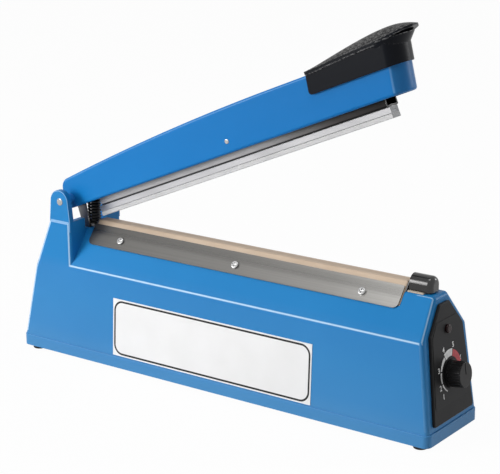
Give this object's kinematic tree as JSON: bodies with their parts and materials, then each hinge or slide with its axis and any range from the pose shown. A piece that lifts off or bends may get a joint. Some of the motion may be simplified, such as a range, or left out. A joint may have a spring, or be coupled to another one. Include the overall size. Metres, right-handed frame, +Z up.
{
  "type": "impulse heat sealer",
  "caption": "Hand impulse heat sealer: a long blue base with a heated bed and a dial, and a hinged spring-loaded arm with a grip and a pressing bar.",
  "frame": {"origin": "middle of the bounding box's footprint, on the plane that the rubber feet stand on", "axes": "+X along the base from the hinge to the dial, +Y to the back, +Z up"},
  "size_m": [0.4666, 0.085, 0.3481],
  "materials": {
    "blue_paint": "semi-gloss blue powder coat",
    "black_plastic": "fine-grained moulded black",
    "panel_black": "satin black",
    "dial_print": "printed satin film",
    "label_white": "white satin film with a thin black border",
    "zinc_plate": "zinc plated",
    "screw_steel": "bright plated",
    "clamp_steel": "brushed",
    "bed_alloy": "mill finish",
    "bar_alloy": "satin drawn",
    "carrier_steel": "grey plated",
    "glass_tape": "woven glass tape",
    "ribbon_alloy": "flat resistance ribbon",
    "brass": "turned",
    "ptfe_tan": "coated woven cloth",
    "tan_board": "varnished paper board",
    "dark_spring": "blackened wire",
    "bright_spring": "bright wire",
    "rubber_black": "matt",
    "silicone_grey": "matt",
    "core_steel": "stacked sheets",
    "copper_winding": "enamelled wire under varnish",
    "board_green": "solder resist",
    "lamp_red": "clear red",
    "switch_black": "moulded"
  },
  "bodies": {
    "base": {"base_housing": "blue_paint", "base_plate": "zinc_plate", "base_plate_screws": "screw_steel", "rubber_feet": "rubber_black", "sealing_bed": "bed_alloy", "bed_tape": "glass_tape", "heating_element": "ribbon_alloy", "terminal_screws": "brass", "ptfe_cloth": "ptfe_tan", "front_clamp_plate": "clamp_steel", "back_clamp_plate": "clamp_steel", "clamp_plate_screws": "screw_steel", "right_end_cap": "black_plastic", "cap_pad": "tan_board", "hinge_pin": "screw_steel", "pin_spacers": "zinc_plate", "spring_cup": "zinc_plate", "return_spring": "dark_spring", "microswitch_body": "switch_black", "switch_screws": "screw_steel", "switch_bracket": "zinc_plate", "transformer_core": "core_steel", "transformer_coil": "copper_winding", "transformer_frame": "zinc_plate", "transformer_screws": "screw_steel", "control_panel": "panel_black", "dial_plate": "dial_print", "lamp_lens": "lamp_red", "lamp_body": "switch_black", "potentiometer": "zinc_plate", "potentiometer_nut": "screw_steel", "timer_board": "board_green", "timer_parts": "switch_black", "label_plate": "label_white", "cable_grommet": "rubber_black"},
    "plunger": {"switch_plunger": "switch_black"},
    "knob": {"control_knob": "black_plastic", "knob_shaft": "screw_steel"},
    "arm": {"arm_housing": "blue_paint", "handle_grip": "black_plastic", "grip_screws": "screw_steel", "switch_blade": "zinc_plate", "spring_seat": "switch_black", "rocker_pin": "screw_steel"},
    "bar": {"bar_carrier": "carrier_steel", "press_bar": "bar_alloy", "bar_screws": "screw_steel", "silicone_strip": "silicone_grey", "carrier_springs": "bright_spring"}
  },
  "joints": [
    {"name": "arm_hinge", "type": "hinge", "parent": "base", "child": "arm", "pos_m": [-0.18379, 0, 0.1534], "axis": [0, 1, 0], "range_deg": [0, 22.6], "stiffness_Nm_per_rad": 2.2, "springref_deg": -85.94, "deforming": ["return_spring"]},
    {"name": "bar_float", "type": "slide", "parent": "arm", "child": "bar", "axis": [-0.3843, 0, 0.9232], "range_m": [0, 0.005], "deforming": ["carrier_springs"]},
    {"name": "plunger_press", "type": "slide", "parent": "base", "child": "plunger", "axis": [-1, 0, 0], "range_m": [0, 0.0015]},
    {"name": "knob_turn", "type": "hinge", "parent": "base", "child": "knob", "pos_m": [0.21526, 0, 0.05717], "axis": [0.9923, 0, 0.1236], "range_deg": [-148, 148]}
  ],
  "couplings": [
    {"joint": "bar_float", "follows": "arm_hinge", "m_per_rad": 0.01267},
    {"joint": "plunger_press", "follows": "arm_hinge", "m_per_rad": 0.0038}
  ]
}
